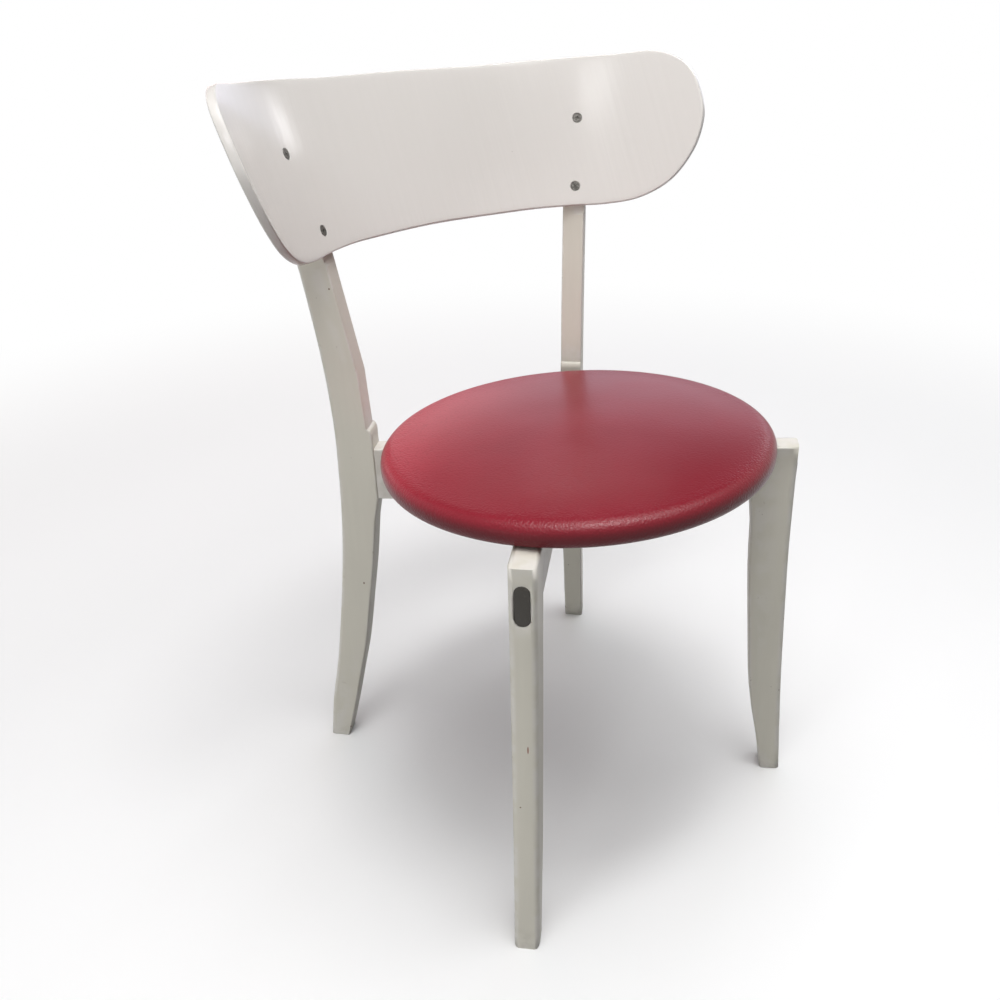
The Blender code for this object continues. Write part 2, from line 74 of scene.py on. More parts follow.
class Wire:
    """A socket of a node tree. Arithmetic on wires adds Math nodes; node() adds any other kind."""

    def __init__(self, tree, socket=None):
        self.tree = tree
        self.socket = socket

    def node(self, kind, sockets=None, out=0, stops=(), **settings):
        """Add a node: first its settings, then the values or links of its sockets."""
        node = self.tree.nodes.new(kind)
        for name, value in settings.items():
            setattr(node, name, value)
        for index, (place, colour) in enumerate(stops):
            ramp = node.color_ramp.elements
            stop = ramp[index] if index < 2 else ramp.new(place)
            stop.position = place
            stop.color = colour
        for key, value in (sockets or {}).items():
            if isinstance(key, int):
                socket = node.inputs[key]
            else:
                socket = next(each for each in node.inputs if each.enabled and key in (each.identifier, each.name))
            if isinstance(value, Wire):
                self.tree.links.new(value.socket, socket)
            else:
                socket.default_value = value
        if isinstance(out, int):
            return Wire(self.tree, node.outputs[out])
        return Wire(self.tree, next(each for each in node.outputs
                                    if each.enabled and out in (each.identifier, each.name)))

    def math(self, operation, *values, clamp=False):
        return self.node("ShaderNodeMath", dict(enumerate(values)), operation=operation, use_clamp=clamp)

    def __add__(self, other):
        return self.math("ADD", self, other)

    def __sub__(self, other):
        return self.math("SUBTRACT", self, other)

    def __rsub__(self, other):
        return self.math("SUBTRACT", other, self)

    def __mul__(self, other):
        return self.math("MULTIPLY", self, other)

    def __truediv__(self, other):
        return self.math("DIVIDE", self, other)

    def __pow__(self, other):
        return self.math("POWER", self, other)

    def __gt__(self, other):
        return self.math("GREATER_THAN", self, other)

    def __lt__(self, other):
        return self.math("LESS_THAN", self, other)

    __radd__ = __add__
    __rmul__ = __mul__

    def step(self, low, high):
        """0 below low, 1 above high, and smooth between them; low may be the larger."""
        return self.node("ShaderNodeMapRange", {"Value": self, "From Min": low, "From Max": high},
                         interpolation_type="SMOOTHSTEP")

    def blend(self, first, second):
        """A colour from first to second as this wire goes from 0 to 1."""
        return self.node("ShaderNodeMix", {"Factor_Float": self, "A_Color": first, "B_Color": second},
                         out="Result_Color", data_type="RGBA", clamp_factor=True)

    def noise(self, scale, detail=2.0, stretch=(1.0, 1.0, 1.0), out="Fac"):
        """Noise over this position, finer along an axis that is stretched more."""
        place = self.node("ShaderNodeMapping", {"Vector": self, "Scale": stretch})
        return self.node("ShaderNodeTexNoise", {"Vector": place, "Scale": scale, "Detail": detail}, out=out)


def new_material(name):
    """An empty Principled material: the material, its shader, and a wire on the object's coordinates."""
    material = bpy.data.materials.new(name)
    material.use_nodes = True
    tree = material.node_tree
    place = Wire(tree).node("ShaderNodeTexCoord", out="Object")
    return material, tree.nodes["Principled BSDF"], place


def connect(shader, **wires):
    """Link wires to the shader's sockets, an underscore standing for a space."""
    for name, wire in wires.items():
        wire.tree.links.new(wire.socket, shader.inputs[name.replace("_", " ")])


def painted_wood(name, colour, marks):
    """Sprayed paint over solid wood, with an attribute "arris" on the edges, which are painted lighter: rubbed paint
    and a painted highlight.
    """
    material, shader, place = new_material(name)
    height = place.node("ShaderNodeSeparateXYZ", {"Vector": place}, out="Z")
    arris = place.node("ShaderNodeAttribute", out="Fac", attribute_name="arris")
    cloud = place.noise(7.0, 3.0)
    drag = place.noise(1.0, 3.0, (160.0, 160.0, 9.0))
    tone = (cloud - 0.5) * 0.9 + (drag - 0.5) * 0.35 + 0.5
    dark = tuple(part * 0.94 for part in colour[:3]) + (1.0,)
    light = tuple(part * 1.04 for part in colour[:3]) + (1.0,)
    shade = tone.step(0.0, 1.0).blend(dark, light)
    # The edges are painted lighter: partly rubbed paint, partly a painted highlight.
    shade = (arris * place.noise(45.0, 2.0).step(0.35, 0.60) * 0.7).blend(shade, rubbed_and_highlight_colour)
    grime = height.step(grime_height, 0.0) * place.noise(60.0, 4.0).step(0.40, 0.75) * 0.35
    shade = grime.blend(shade, grime_colour)
    cells = {"Vector": place, "Scale": 42.0}
    speck = place.node("ShaderNodeTexVoronoi", cells, out="Distance") < 0.035
    chosen = place.node("ShaderNodeTexVoronoi", cells, out="Color")
    chosen = chosen.node("ShaderNodeSeparateColor", {"Color": chosen}, out="Red") > 0.90
    bare = speck * chosen
    worn = arris * place.noise(130.0, 3.0).step(0.66, 0.72) * place.noise(19.0).step(0.52, 0.62)
    shade = (bare * 0.8).blend(shade, grime_colour)
    shade = (worn * 0.75).blend(shade, bare_wood_colour)
    dent = bare + worn
    for centre, radius, drawn, mark_colour in marks:
        away = place.node("ShaderNodeVectorMath", {0: place, 1: centre}, operation="SUBTRACT")
        away = away.node("ShaderNodeVectorMath", {0: away, 1: (1.0, 1.0, 1.0 / drawn)}, operation="MULTIPLY")
        away = away.node("ShaderNodeVectorMath", {0: away}, out="Value", operation="LENGTH")
        mark = away.step(radius, radius * 0.6)
        shade = (mark * 0.85).blend(shade, mark_colour)
        dent = dent + mark
    peel = place.noise(420.0, 2.0)
    bump = place.node("ShaderNodeBump", {"Strength": 0.10, "Distance": 0.0006, "Height": peel})
    bump = place.node("ShaderNodeBump", {"Strength": 0.10, "Distance": 0.0020, "Height": drag, "Normal": bump})
    bump = place.node("ShaderNodeBump", {"Strength": 0.6, "Distance": 0.0004, "Height": 1 - dent,
                                         "Normal": bump})
    gloss = (cloud - 0.5) * 0.14 + paint_roughness + grime * 0.4 + dent * 0.25
    shader.inputs["Specular IOR Level"].default_value = 0.3
    connect(shader, Base_Color=shade, Roughness=gloss, Normal=bump)
    return material


def finished_copy(node, name, material, sharp=38.0):
    """A clean copy of a CAD node: doubles merged, flat faces joined, smooth over its rounded edges."""
    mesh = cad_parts[node].data.copy()
    mesh.name = name
    mesh.materials.clear()
    mesh.materials.append(material)
    work = bmesh.new()
    work.from_mesh(mesh)
    bmesh.ops.remove_doubles(work, verts=work.verts, dist=same_place)
    bmesh.ops.dissolve_limit(work, angle_limit=radians(0.2), verts=work.verts, edges=work.edges)
    arris = work.verts.layers.float.new("arris")
    for vertex in work.verts:
        turns = [edge.calc_face_angle(0.0) for edge in vertex.link_edges if len(edge.link_faces) == 2]
        vertex[arris] = 1.0 if max(turns, default=0.0) > radians(22) else 0.0
    for face in work.faces:
        face.smooth = True
    work.to_mesh(mesh)
    work.free()
    mesh.set_sharp_from_angle(angle=radians(sharp))
    return add_piece(name, mesh)


def add_piece(name, mesh):
    piece = bpy.data.objects.new(name, mesh)
    bpy.context.scene.collection.objects.link(piece)
    return piece


def settle(piece):
    """Turn the piece's modifiers into its plain mesh."""
    depsgraph = bpy.context.evaluated_depsgraph_get()
    mesh = bpy.data.meshes.new_from_object(piece.evaluated_get(depsgraph), depsgraph=depsgraph)
    mesh.name = piece.name
    piece.modifiers.clear()
    piece.data = mesh


leg_paint = painted_wood("leg paint", paint_colour, leg_marks)
for name in leg_names:
    leg = finished_copy(name, "painted_" + name, leg_paint)
    weighted = leg.modifiers.new("even shading", "WEIGHTED_NORMAL")
    weighted.keep_sharp = True
    settle(leg)
    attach(leg, "root")
    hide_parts(name)


# ------------------------------------------------------------------ Crossed rails
# Two painted boards on edge, halved into each other under the seat. Each runs from a front leg to the
# opposite rear leg. They have less polish, and their paint is painted a little darker as painted shade under the
# seat.
# the leg paint made darker: painted shade under the seat
rail_painted_shade_colour = (0.640, 0.606, 0.556, 1.0)

shaded_rail_paint = painted_wood("rail paint", rail_painted_shade_colour, ())
for side in ("left", "right"):
    rail = finished_copy("cross_rail_" + side, "painted_rail_" + side, shaded_rail_paint)
    weighted = rail.modifiers.new("even shading", "WEIGHTED_NORMAL")
    weighted.keep_sharp = True
    settle(rail)
    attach(rail, "root")
    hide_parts("cross_rail_" + side)


# ------------------------------------------------------------------ Zinc screws
# Two screws through each leg into its rail, under the cap, and four up through the rails into the seat
# board. All sit in bores; the seat's four show only from below. Dull zinc, a little stained.
zinc_colour = (0.46, 0.45, 0.42, 1.0)
zinc_stain_colour = (0.24, 0.20, 0.15, 1.0)

zinc, shader, place = new_material("dull zinc")
stain = place.noise(260.0, 4.0).step(0.45, 0.70)
shader.inputs["Metallic"].default_value = 1.0
connect(shader, Base_Color=stain.blend(zinc_colour, zinc_stain_colour), Roughness=stain * 0.3 + 0.34)
for name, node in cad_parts.items():
    if name.startswith(("leg_screw", "seat_screw")):
        node.material_slots[0].material = zinc


# ------------------------------------------------------------------ Leg caps
# One dark moulded cap in each leg's outer edge hides the two screws. It is pressed into a pocket and
# stands just proud, with a softly crowned face and a fine moulded grain.
cap_length = 0.042
cap_width = 0.014
cap_thickness = 0.005
cap_round = 0.0010
cap_crown = 0.0005
cap_colour = (0.029, 0.025, 0.019, 1.0)
cap_dust_colour = (0.150, 0.135, 0.115, 1.0)


def tree_modifier(piece, name, inputs):
    """A Geometry Nodes modifier on the piece, with a geometry input and the named sizes as inputs."""
    tree = bpy.data.node_groups.new(name, "GeometryNodeTree")
    tree.interface.new_socket("Geometry", in_out="INPUT", socket_type="NodeSocketGeometry")
    tree.interface.new_socket("Geometry", in_out="OUTPUT", socket_type="NodeSocketGeometry")
    keys = {}
    for label, value in inputs.items():
        kind = "NodeSocketInt" if isinstance(value, int) else "NodeSocketFloat"
        keys[label] = tree.interface.new_socket(label, in_out="INPUT", socket_type=kind).identifier
    modifier = piece.modifiers.new(name, "NODES")
    modifier.node_group = tree
    for label, value in inputs.items():
        modifier[keys[label]] = value
    start = tree.nodes.new("NodeGroupInput")
    wires = {socket.name: Wire(tree, socket) for socket in start.outputs if socket.name}
    return tree, wires


def close_tree(tree, geometry, material):
    """Realize the instances, set the material and link the tree's output."""
    real = geometry.node("GeometryNodeRealizeInstances", {"Geometry": geometry})
    done = real.node("GeometryNodeSetMaterial", {"Geometry": real, "Material": material})
    end = tree.nodes.new("NodeGroupOutput")
    tree.links.new(done.socket, end.inputs[0])


def stadium(length, width, steps):
    """A slot outline round its middle, its length along the second value."""
    reach = (length - width) / 2
    points = []
    for start, shift in ((0.0, reach), (pi, -reach)):
        for step in range(steps + 1):
            turn = start + pi * step / steps
            points.append((width / 2 * cos(turn), shift + width / 2 * sin(turn)))
    return points


cap_plastic, shader, place = new_material("cap plastic")
fleck = place.noise(900.0, 3.0)
dust = place.noise(120.0, 4.0).step(0.58, 0.80) * 0.35
grain = place.node("ShaderNodeBump", {"Strength": 0.35, "Distance": 0.0003, "Height": fleck})
connect(shader, Base_Color=dust.blend(cap_colour, cap_dust_colour), Roughness=dust * 0.3 + 0.46, Normal=grain)

work = bmesh.new()
loops = []
edge_steps = 4
for step in range(edge_steps + 1):
    turn = pi / 2 * step / edge_steps
    inset = cap_round * (1 - sin(turn))
    out = cap_thickness / 2 - cap_round * (1 - cos(turn))
    loops.append([(out, x, y) for x, y in stadium(cap_length - 2 * inset, cap_width - 2 * inset, 12)])
for share in (0.80, 0.50, 0.22):
    ring = stadium(cap_length - 2 * cap_round, cap_width - 2 * cap_round, 12)
    loops.insert(0, [(cap_thickness / 2 + cap_crown * (1 - share * share), x * share, y * share) for x, y in ring])
loops.append([(-cap_thickness / 2, x, y) for x, y in stadium(cap_length, cap_width, 12)])
rows = [[work.verts.new(point) for point in loop] for loop in loops]
for inner, outer in zip(rows, rows[1:]):
    for index in range(len(inner)):
        after = (index + 1) % len(inner)
        work.faces.new((inner[index], outer[index], outer[after], inner[after]))
middle = work.verts.new((cap_thickness / 2 + cap_crown, 0.0, 0.0))
for index in range(len(rows[0])):
    work.faces.new((middle, rows[0][index], rows[0][(index + 1) % len(rows[0])]))
work.faces.new(list(reversed(rows[-1])))
bmesh.ops.remove_doubles(work, verts=work.verts, dist=same_place / 10)
bmesh.ops.recalc_face_normals(work, faces=work.faces)
for face in work.faces:
    face.smooth = True
cap_mesh = bpy.data.meshes.new("cap blank")
work.to_mesh(cap_mesh)
work.free()
cap_mesh.set_sharp_from_angle(angle=radians(50))
cap_blank = add_piece("cap_blank", cap_mesh)

cap_nodes = ["leg_cap_front_left", "leg_cap_front_right", "leg_cap_rear_left", "leg_cap_rear_right"]
cap_places = bpy.data.meshes.new("leg_caps")
centres = [(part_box(name)[0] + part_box(name)[1]) / 2 for name in cap_nodes]
cap_places.from_pydata(centres, [], [])
turns = cap_places.attributes.new("turn", "FLOAT", "POINT")
for index, name in enumerate(cap_nodes):
    outward = (1.0 if "right" in name else -1.0, 1.0 if "rear" in name else -1.0)
    turns.data[index].value = atan2(outward[1], outward[0])
leg_caps = add_piece("leg_caps", cap_places)
tree, given = tree_modifier(leg_caps, "caps in their pockets", {"Cap Size": 1.0})
turn = given["Geometry"].node("GeometryNodeInputNamedAttribute", {"Name": "turn"}, out="Attribute",
                              data_type="FLOAT")
turn = turn.node("ShaderNodeCombineXYZ", {"Z": turn})
cap = turn.node("GeometryNodeObjectInfo", {"Object": cap_blank}, out="Geometry")
placed = turn.node("GeometryNodeInstanceOnPoints", {
    "Points": given["Geometry"], "Instance": cap, "Rotation": turn, "Scale": given["Cap Size"]})
close_tree(tree, placed, cap_plastic)
settle(leg_caps)
bpy.data.objects.remove(cap_blank, do_unlink=True)
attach(leg_caps, "root")
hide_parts(*cap_nodes)


# ------------------------------------------------------------------ Seat board and foam
# A 12 mm plywood disc carries a foam disc. Only the middle of the board shows, from below, bare and a
# little stained; the foam is closed in by the cover.
ply_light_colour = (0.520, 0.370, 0.215, 1.0)
ply_dark_colour = (0.330, 0.205, 0.105, 1.0)
foam_colour = (0.720, 0.620, 0.400, 1.0)
foam_pore_colour = (0.500, 0.410, 0.240, 1.0)

ply, shader, place = new_material("bare plywood")
figure = place.noise(1.0, 5.0, (7.0, 90.0, 90.0))
fibre = place.noise(1.0, 2.0, (30.0, 700.0, 700.0))
stain = place.noise(9.0, 3.0).step(0.50, 0.75) * 0.35
tone = (figure * 0.7 + fibre * 0.3).step(0.32, 0.68)
grain = place.node("ShaderNodeBump", {"Strength": 0.3, "Distance": 0.0008, "Height": fibre})
wood = stain.blend(tone.blend(ply_light_colour, ply_dark_colour), ply_dark_colour)
connect(shader, Base_Color=wood, Roughness=0.15 * tone + 0.62, Normal=grain)
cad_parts["seat_board"].material_slots[0].material = ply

foam, shader, place = new_material("upholstery foam")
pores = place.noise(1400.0, 2.0)
pitted = place.node("ShaderNodeBump", {"Strength": 0.8, "Distance": 0.0006, "Height": pores})
connect(shader, Base_Color=pores.step(0.3, 0.7).blend(foam_pore_colour, foam_colour),
        Roughness=pores * 0.05 + 0.92, Normal=pitted)
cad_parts["seat_foam"].material_slots[0].material = foam


# ------------------------------------------------------------------ Seat cover
# Dark red vinyl drawn tight over the foam and turned in under the board. It has a fine pebble grain,
# duller and a little scuffed in the middle, and swells slightly between its rim and its crown.
seat_radius = 0.204
seat_top = 0.470
seat_pitch = radians(4.7)
seat_y = -0.0612
pad_thickness = 0.0325
seat_crown = 0.006
cover_thickness = 0.0012
cover_return = 0.032
top_edge_round = (0.016, 0.012)
bottom_edge_round = (0.009, 0.010)
tucked_in = 0.0008           # the cloth starts this much smaller, and swells to its size
swell_limit = 0.0035
sink_limit = 0.0004
foam_unevenness = 0.0005
seat_cells = 56              # across the top
vinyl_colour = (0.235, 0.011, 0.023, 1.0)
vinyl_deep_colour = (0.190, 0.008, 0.016, 1.0)
# a lighter red for one side of the seat: painted light and sheen
vinyl_painted_light_colour = (0.425, 0.028, 0.052, 1.0)
# a dark red for the lower rim and underside: painted shade
vinyl_painted_shade_colour = (0.060, 0.004, 0.007, 1.0)
vinyl_scuff_colour = (0.300, 0.045, 0.062, 1.0)
painted_light_direction = (-0.45, 0.89, 0.0)  # the side painted lighter, as painted light and sheen

seat_frame = Matrix.Translation((0.0, seat_y, seat_top - pad_thickness)) @ Matrix.Rotation(-seat_pitch, 4, "X")
outside = seat_radius - tucked_in
flat = outside - top_edge_round[0]
rim_height = pad_thickness - seat_crown - tucked_in
sides = []                   # the cover's rings below its top, from the crown's edge to the turned-in edge
for step in range(1, 8):
    turn = pi / 2 * step / 7
    sides.append((flat + top_edge_round[0] * sin(turn), rim_height - top_edge_round[1] * (1 - cos(turn))))
sides.append((outside, (rim_height - top_edge_round[1] + bottom_edge_round[1]) / 2))
for step in range(0, 6):
    turn = pi / 2 * step / 5
    sides.append((outside - bottom_edge_round[0] * (1 - cos(turn)), bottom_edge_round[1] * (1 - sin(turn))))
pinned_from = len(sides) - 4
inner_edge = outside - bottom_edge_round[0] - cover_return
for step in range(1, 6):
    sides.append((sides[pinned_from + 3][0] + (inner_edge - sides[pinned_from + 3][0]) * step / 5, 0.0))

work = bmesh.new()
top = []
for row in range(seat_cells + 1):
    line = []
    for column in range(seat_cells + 1):
        u, v = 2 * column / seat_cells - 1, 2 * row / seat_cells - 1
        x, y = u * sqrt(1 - v * v / 2), v * sqrt(1 - u * u / 2)
        share = sqrt(x * x + y * y)
        lumps = foam_unevenness * noise.noise(Vector((x * 3.1, y * 3.1, 4.7)))
        height = pad_thickness - tucked_in - seat_crown * share * share + lumps * (1 - share ** 4)
        line.append(work.verts.new((x * flat, y * flat, height)))
    top.append(line)
for row in range(seat_cells):
    for column in range(seat_cells):
        work.faces.new((top[row][column], top[row][column + 1], top[row + 1][column + 1], top[row + 1][column]))
last = seat_cells
ring = [top[0][k] for k in range(last)] + [top[k][last] for k in range(last)]
ring += [top[last][last - k] for k in range(last)] + [top[last - k][0] for k in range(last)]
held = {}
for index, (radius, height) in enumerate(sides):
    wider = []
    for vertex in ring:
        turn = atan2(vertex.co.y, vertex.co.x)
        wider.append(work.verts.new((radius * cos(turn), radius * sin(turn), height)))
        held[wider[-1]] = 1.0 if index >= pinned_from else 0.6 + 0.4 * index / pinned_from
    for place_index in range(len(ring)):
        after = (place_index + 1) % len(ring)
        work.faces.new((ring[place_index], wider[place_index], wider[after], ring[after]))
    ring = wider
work.verts.index_update()
weights = {vertex.index: weight for vertex, weight in held.items()}
cover_mesh = bpy.data.meshes.new("vinyl_seat_cover")
work.to_mesh(cover_mesh)
work.free()
seat_cover = add_piece("vinyl_seat_cover", cover_mesh)
pins = seat_cover.vertex_groups.new(name="held")
for index, weight in weights.items():
    pins.add([index], weight, "REPLACE")

cloth = seat_cover.modifiers.new("stuffing", "CLOTH")
cloth.settings.quality = 6
cloth.settings.mass = 0.3
cloth.settings.tension_stiffness = 25.0
cloth.settings.compression_stiffness = 25.0
cloth.settings.bending_stiffness = 0.6
cloth.settings.use_pressure = True
cloth.settings.uniform_pressure_force = 4.0
cloth.settings.effector_weights.gravity = 0.0
cloth.settings.vertex_group_mass = "held"
cloth.collision_settings.use_collision = False
cloth.point_cache.frame_start = 1
cloth.point_cache.frame_end = 20
for now in range(1, 21):
    bpy.context.scene.frame_set(now)
depsgraph = bpy.context.evaluated_depsgraph_get()
swollen = [vertex.co.copy() for vertex in seat_cover.evaluated_get(depsgraph).data.vertices]
seat_cover.modifiers.remove(cloth)
bpy.context.scene.frame_set(1)
for vertex, normal, place_now in zip(seat_cover.data.vertices, seat_cover.data.vertex_normals, swollen):
    rise = (place_now - vertex.co).dot(normal.vector)
    vertex.co += normal.vector * max(-sink_limit, swell_limit * (1 - 2.718 ** (-rise / swell_limit)))
skin = seat_cover.modifiers.new("skin", "SOLIDIFY")
skin.thickness = cover_thickness
skin.offset = -1.0
finer = seat_cover.modifiers.new("finer", "SUBSURF")
finer.levels = 1
finer.render_levels = 1
settle(seat_cover)
seat_cover.data.transform(seat_frame)
seat_cover.data.shade_smooth()

vinyl, shader, place = new_material("red vinyl")
cells = {"Vector": place, "Scale": 520.0, "Randomness": 0.9}
pebble = place.node("ShaderNodeTexVoronoi", cells, out="Distance", feature="SMOOTH_F1")
crease = place.noise(260.0, 3.0)
wear = place.noise(11.0, 4.0).step(0.42, 0.72)
cloud = place.noise(4.0, 3.0)
away = place.node("ShaderNodeVectorMath", {0: place, 1: (0.0, seat_y, seat_top)}, operation="SUBTRACT")
away = away.node("ShaderNodeVectorMath", {0: away}, out="Value", operation="LENGTH")
sat_on = away.step(0.17, 0.05)
shade = cloud.step(0.3, 0.7).blend(vinyl_deep_colour, vinyl_colour)
across = place.node("ShaderNodeVectorMath", {0: place, 1: painted_light_direction}, out="Value", operation="DOT_PRODUCT")
# The rear left of the cover is painted a lighter red: painted light and sheen on the side towards the light.
lightened = (across + (cloud - 0.5) * 0.10).step(-0.02, 0.17)
shade = lightened.blend(shade, vinyl_painted_light_colour)
shade = (pebble.step(0.35, 0.75) * 0.35).blend(shade, vinyl_deep_colour)
shade = (wear * sat_on * 0.18).blend(shade, vinyl_scuff_colour)
below = place.node("ShaderNodeVectorMath", {0: place, 1: (0.0, seat_y, seat_top)}, operation="SUBTRACT")
below = below.node("ShaderNodeVectorMath", {0: below, 1: (0.0, sin(seat_pitch), cos(seat_pitch))},
                   out="Value", operation="DOT_PRODUCT")
# The cover is painted darker below its top, towards the underside: painted shade.
shade = (below.step(-0.008, -0.023) * 0.70).blend(shade, vinyl_painted_shade_colour)
rough = 0.29 + sat_on * 0.02 + wear * 0.02 + (pebble - 0.4) * 0.03
rim_grain = away.step(0.165, 0.196) * 0.72 + 0.28
grain = place.node("ShaderNodeBump", {"Strength": 0.60, "Distance": 0.0006, "Height": rim_grain * (1 - pebble)})
grain = place.node("ShaderNodeBump", {"Strength": 0.07, "Distance": 0.0010, "Height": crease, "Normal": grain})
connect(shader, Base_Color=shade, Roughness=rough, Normal=grain)
shader.inputs["Specular IOR Level"].default_value = 0.27
shader.inputs["Sheen Weight"].default_value = 0.05
shader.inputs["Sheen Roughness"].default_value = 0.35
shader.inputs["Sheen Tint"].default_value = (1.0, 0.42, 0.48, 1.0)
seat_cover.data.materials.clear()
seat_cover.data.materials.append(vinyl)
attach(seat_cover, "root")
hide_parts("seat_cover")


# ------------------------------------------------------------------ Cover staples
# A ring of wire staples holds the turned-in edge of the cover to the board. They show only from below,
# and there is none where a rail lies against the seat.
staple_count = 44
staple_width = 0.010
staple_wire = 0.0011
crossing_y = -0.0223
clear_of_rail = 0.020

staples = add_piece("cover_staples", bpy.data.meshes.new("cover_staples"))
tree, given = tree_modifier(staples, "staples round the board", {
    "Ring Radius": inner_edge + 0.009, "Staple Width": staple_width, "Wire": staple_wire,
    "Count": staple_count, "Clear Of Rail": clear_of_rail})
ring = given["Count"].node("GeometryNodeCurvePrimitiveCircle", {
    "Resolution": given["Count"], "Radius": given["Ring Radius"]}, mode="RADIUS")
points = ring.node("GeometryNodeCurveToPoints", {"Curve": ring, "Count": given["Count"]}, mode="COUNT")
turn = Wire(tree, points.socket.node.outputs["Rotation"])
jitter = ring.node("FunctionNodeRandomValue", {"Min": -0.12, "Max": 0.12, "Seed": 5}, out="Value",
                   data_type="FLOAT")
askew = ring.node("ShaderNodeCombineXYZ", {"Z": jitter})
size = ring.node("ShaderNodeCombineXYZ", {"X": given["Wire"], "Y": given["Wire"] * 0.5,
                                          "Z": given["Staple Width"]})
wire = ring.node("GeometryNodeMeshCube", {"Size": size})
placed = ring.node("GeometryNodeInstanceOnPoints", {"Points": points, "Instance": wire, "Rotation": turn})
placed = placed.node("GeometryNodeTransform", {
    "Geometry": placed, "Translation": seat_frame.to_translation(), "Rotation": (-seat_pitch, 0.0, 0.0)})
spot = placed.node("GeometryNodeInputPosition")
split = {axis: spot.node("ShaderNodeSeparateXYZ", {"Vector": spot}, out=axis) for axis in "XY"}
off_x = split["X"].math("ABSOLUTE", split["X"])
off_y = split["Y"].math("ABSOLUTE", split["Y"] - crossing_y)
to_rail = off_x.math("ABSOLUTE", off_x - off_y)
kept = placed.node("GeometryNodeDeleteGeometry", {
    "Geometry": placed, "Selection": to_rail < given["Clear Of Rail"]}, domain="INSTANCE")
close_tree(tree, kept, zinc)
settle(staples)
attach(staples, "root")


# ------------------------------------------------------------------ Back panel
# One sheet of 8.5 mm plywood, cut to a round-ended blank, its rim rounded over, and bent in a mould: the
# bend eases towards the ends and towards the top. Semi-gloss paint, through which the upright grain shows.
panel_thickness = 0.0085
panel_radius = 0.3207
panel_end_ease = 0.42
panel_top_ease = 0.68
panel_half_length = 0.3436
panel_lean = radians(24.0)
panel_y = 0.2147
panel_z = 0.6984
rim_round = 0.0017
rim_steps = 5
panel_columns = 220
panel_rows = 30
end_crowding = 0.62
panel_colour = (0.735, 0.706, 0.676, 1.0)
panel_shade_colour = (0.712, 0.684, 0.650, 1.0)
# Half the blank's outline, from the middle of the top round the end to the middle of the bottom
half_outline = [(0.0, 0.1032), (0.115, 0.0954), (0.190, 0.0849), (0.260, 0.0694), (0.305, 0.0584),
                (0.331, 0.0395), (0.342, 0.0175), (0.3436, -0.0150), (0.337, -0.0384), (0.318, -0.0653),
                (0.285, -0.0890), (0.245, -0.0982), (0.205, -0.0945), (0.160, -0.0849), (0.100, -0.0760),
                (0.0, -0.0700)]
tip = 7                      # the outline's point at the very end
screw_along = {"upper": 0.19835, "lower": 0.17522}
screw_height = {"upper": 0.011, "lower": -0.065}
countersink_radius = 0.0057
countersink_depth = 0.0036


def bend_blank(tree, given, geometry):
    """Bend a flat blank: X runs round the front face, Y into the thickness and Z up the lean."""
    flat_place = geometry.node("GeometryNodeInputPosition")
    kept = geometry.node("GeometryNodeStoreNamedAttribute", {
        "Geometry": geometry, "Name": "blank", "Value": flat_place}, data_type="FLOAT_VECTOR", domain="POINT")
    along, depth, height = (flat_place.node("ShaderNodeSeparateXYZ", {"Vector": flat_place}, out=axis)
                            for axis in "XYZ")
    scale = (1 - given["Top Ease"] * height) / given["Radius"]
    half = given["Half Length"]

    def turn_at(share):
        here = along * share
        return (here + given["End Ease"] * (here / 3 - here * here * here / (3 * half * half))) * scale

    across, inward = 0.0, 0.0
    for share, weight in ((0.04691, 0.11846), (0.23077, 0.23931), (0.5, 0.28444), (0.76923, 0.23931),
                          (0.95309, 0.11846)):
        turn = turn_at(share)
        across = turn.math("COSINE", turn) * along * weight + across
        inward = turn.math("SINE", turn) * along * weight + inward
    turn = turn_at(1.0)
    x = across + turn.math("SINE", turn) * depth
    back = turn.math("COSINE", turn) * depth - inward
    lean_sine = turn.math("SINE", given["Lean"])
    lean_cosine = turn.math("COSINE", given["Lean"])
    y = back * lean_cosine + height * lean_sine + given["Middle Y"]
    z = height * lean_cosine - back * lean_sine + given["Middle Z"]
    bent_place = x.node("ShaderNodeCombineXYZ", {"X": x, "Y": y, "Z": z})
    return kept.node("GeometryNodeSetPosition", {"Geometry": kept, "Position": bent_place})


bend_sizes = {"Radius": panel_radius, "End Ease": panel_end_ease, "Top Ease": panel_top_ease,
              "Half Length": panel_half_length, "Lean": panel_lean, "Middle Y": panel_y, "Middle Z": panel_z}


def smooth_chain(points, steps):
    """Points on a Catmull-Rom curve through the given ones, mirrored past both ends."""
    ends = [Vector((-points[1][0], points[1][1]))] + [Vector(point) for point in points]
    ends.append(Vector((-points[-2][0], points[-2][1])))
    chain = []
    for before, start, end, after in zip(ends, ends[1:], ends[2:], ends[3:]):
        for step in range(steps):
            t = step / steps
            bend = 2 * before - 5 * start + 4 * end - after
            twist = 3 * (start - end) + after - before
            chain.append(0.5 * (2 * start + (end - before) * t + bend * t * t + twist * t ** 3))
    chain.append(ends[-2])
    return chain


def inset_chain(chain, inset):
    """The half outline moved inwards; its two ends stay on the middle line."""
    moved = []
    for index, point in enumerate(chain):
        before, after = chain[max(index - 1, 0)], chain[min(index + 1, len(chain) - 1)]
        along = (after - before).normalized()
        shifted = point + Vector((along.y, -along.x)) * inset
        if index in (0, len(chain) - 1):
            shifted = Vector((0.0, point.y + (-inset if index == 0 else inset)))
        moved.append(shifted)
    return moved


def by_share(chain):
    """A function that gives the place at a share of the chain's length."""
    lengths = [0.0]
    for start, end in zip(chain, chain[1:]):
        lengths.append(lengths[-1] + (end - start).length)

    def place_at(share):
        wanted = min(max(share, 0.0), 1.0) * lengths[-1]
        index = next(k for k in range(1, len(lengths)) if lengths[k] >= wanted - 1e-12)
        part = (wanted - lengths[index - 1]) / (lengths[index] - lengths[index - 1])
        return chain[index - 1].lerp(chain[index], part)

    return place_at


